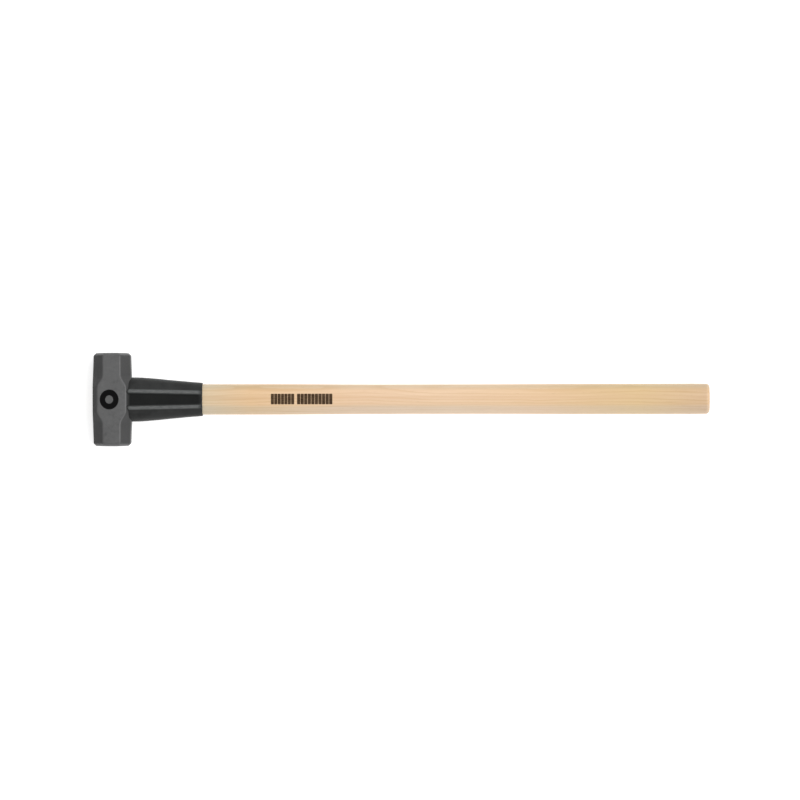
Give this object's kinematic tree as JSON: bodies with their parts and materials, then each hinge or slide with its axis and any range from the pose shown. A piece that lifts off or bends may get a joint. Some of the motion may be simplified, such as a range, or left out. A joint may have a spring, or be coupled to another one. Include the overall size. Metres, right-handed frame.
{
  "type": "sledge hammer",
  "caption": "Sledge hammer with a blunt-ended steel head whose corners are bevelled, a straight oval wooden handle wedged in its eye, and a ribbed rubber overstrike guard.",
  "frame": {"origin": "on the plane of the head's lower cheek, straight under the middle of the head's eye", "axes": "+X along the handle from the head towards the grip end, +Y the striking direction, +Z from the lower cheek to the upper cheek; the hammer lies on its side"},
  "size_m": [0.9144, 0.1392, 0.0552],
  "materials": {
    "head_paint": "satin dark grey coating over forged steel, slightly uneven, thin wear on the edges",
    "handle_wood": "pale hickory with straight grain under a clear lacquer",
    "wedge_wood": "raw hardwood, sawn end grain",
    "wedge_steel": "bare steel, hammered and ground flush",
    "guard_rubber": "matte black moulded rubber"
  },
  "bodies": {
    "root": {"hammer_head": "head_paint", "handle": "handle_wood", "wood_wedge": "wedge_wood", "steel_wedge_a": "wedge_steel", "steel_wedge_b": "wedge_steel", "overstrike_guard": "guard_rubber"}
  },
  "joints": []
}
